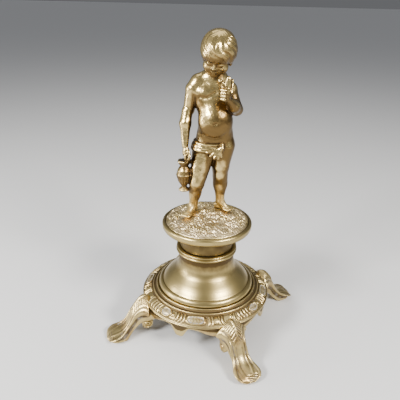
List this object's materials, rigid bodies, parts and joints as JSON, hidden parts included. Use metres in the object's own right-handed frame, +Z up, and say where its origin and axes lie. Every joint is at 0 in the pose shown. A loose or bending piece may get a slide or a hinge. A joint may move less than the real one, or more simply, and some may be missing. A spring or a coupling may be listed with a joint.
{
  "type": "brass figurine of a boy with a bird and a ewer on a footed base",
  "caption": "Cast brass standing boy holding a small bird and a ewer, on a round mound over a turned plate, a spun bell and a scrolled, footed ring.",
  "frame": {"origin": "on the surface it stands on, under the middle of the figurine", "axes": "+Z up, the boy faces -Y, his left side is towards +X"},
  "size_m": [0.176, 0.176, 0.2605],
  "materials": {
    "boy_and_mound": "polished cast brass with brown shading in the hollows",
    "top_plate": "satin turned brass",
    "bell": "satin spun brass",
    "footed_ring": "dull cast brass with pale residue in the carving"
  },
  "bodies": {
    "root": {"boy_and_mound": "boy_and_mound", "top_plate": "top_plate", "bell": "bell", "footed_ring": "footed_ring"}
  },
  "joints": []
}
